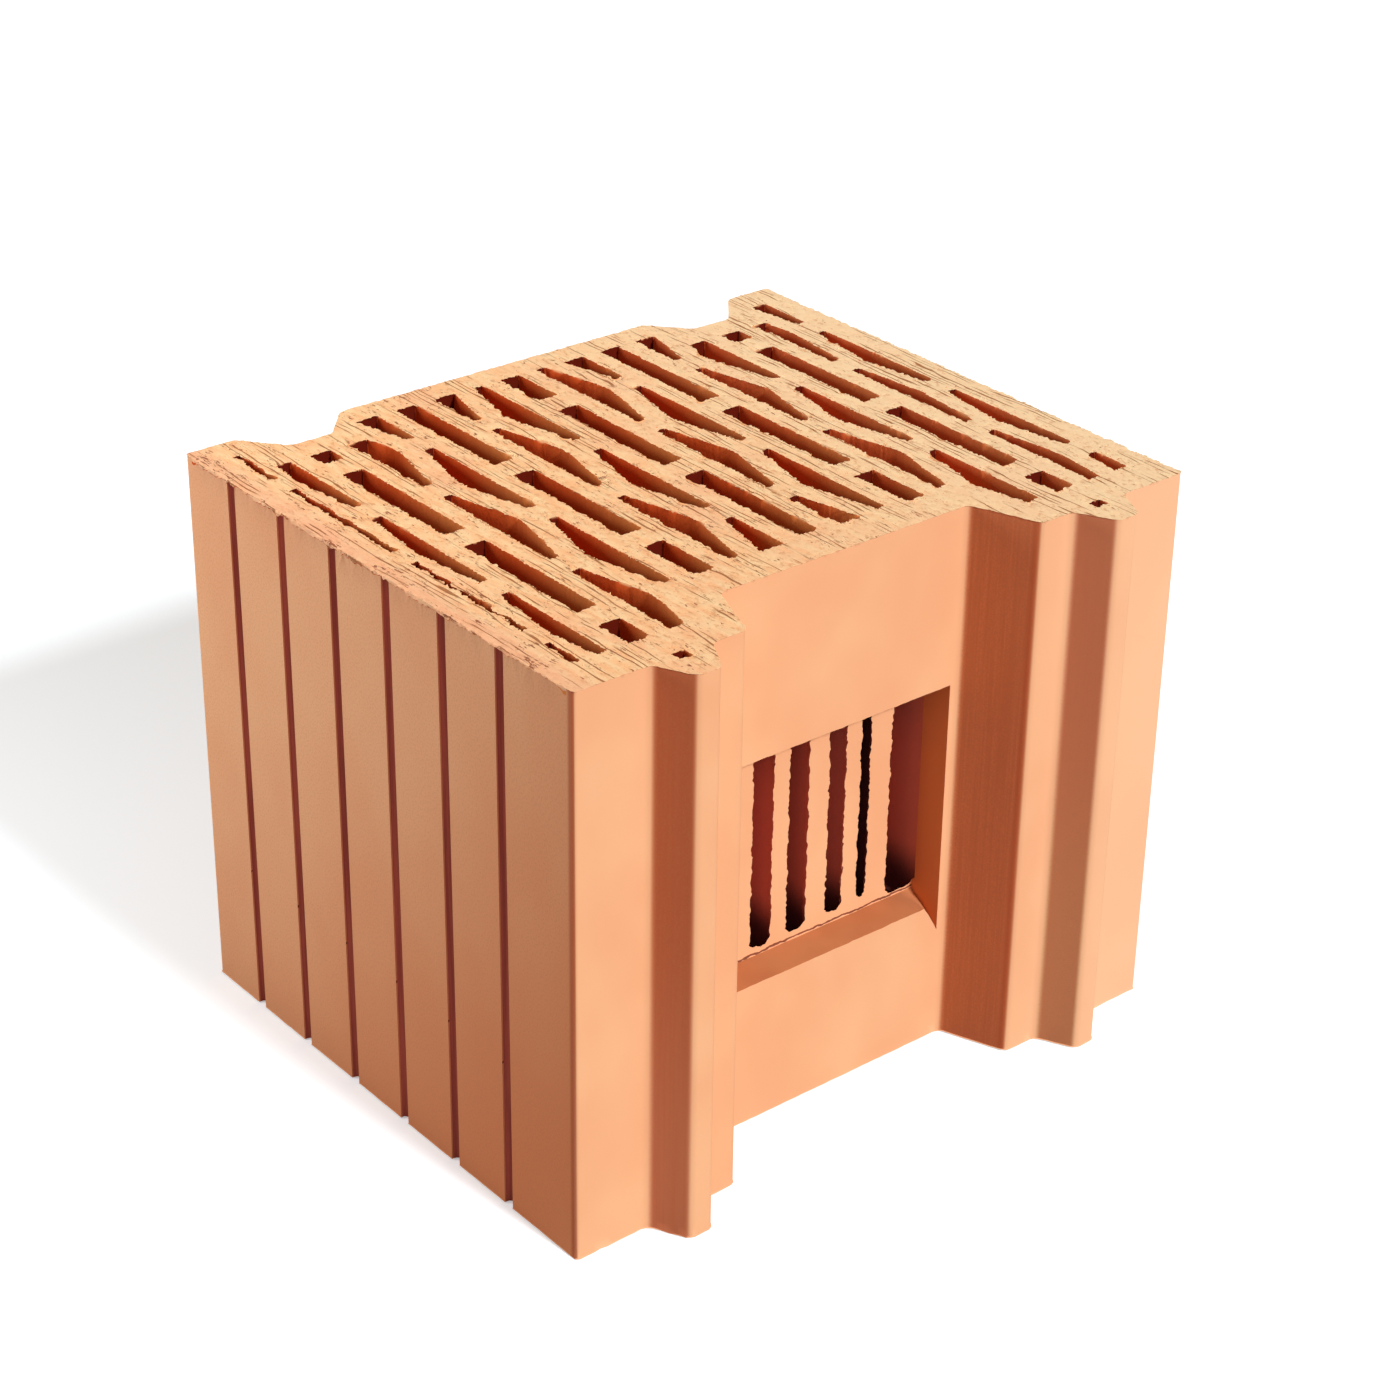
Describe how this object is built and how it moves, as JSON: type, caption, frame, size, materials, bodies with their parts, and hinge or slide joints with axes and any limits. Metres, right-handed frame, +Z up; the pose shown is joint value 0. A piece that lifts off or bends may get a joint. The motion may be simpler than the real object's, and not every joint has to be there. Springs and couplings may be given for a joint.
{
  "type": "perforated clay wall block",
  "caption": "Tall perforated clay wall block with staggered core slots, tongues and a mortar recess in front, grooves behind, scored sides and a grip pocket",
  "frame": {"origin": "centre of the overall box at the bottom bed face, midway between the side faces and midway from tongue tips to back strips", "axes": "+Z up along the cores, +X along the block's longest side to the right as seen from the front, -Y out of the tongued front face, +Y out of the grooved back face"},
  "size_m": [0.295, 0.264, 0.238],
  "materials": {
    "fired_clay": "matte, unglazed, finely dragged"
  },
  "bodies": {
    "root": {"clay_block": "fired_clay"}
  },
  "joints": []
}
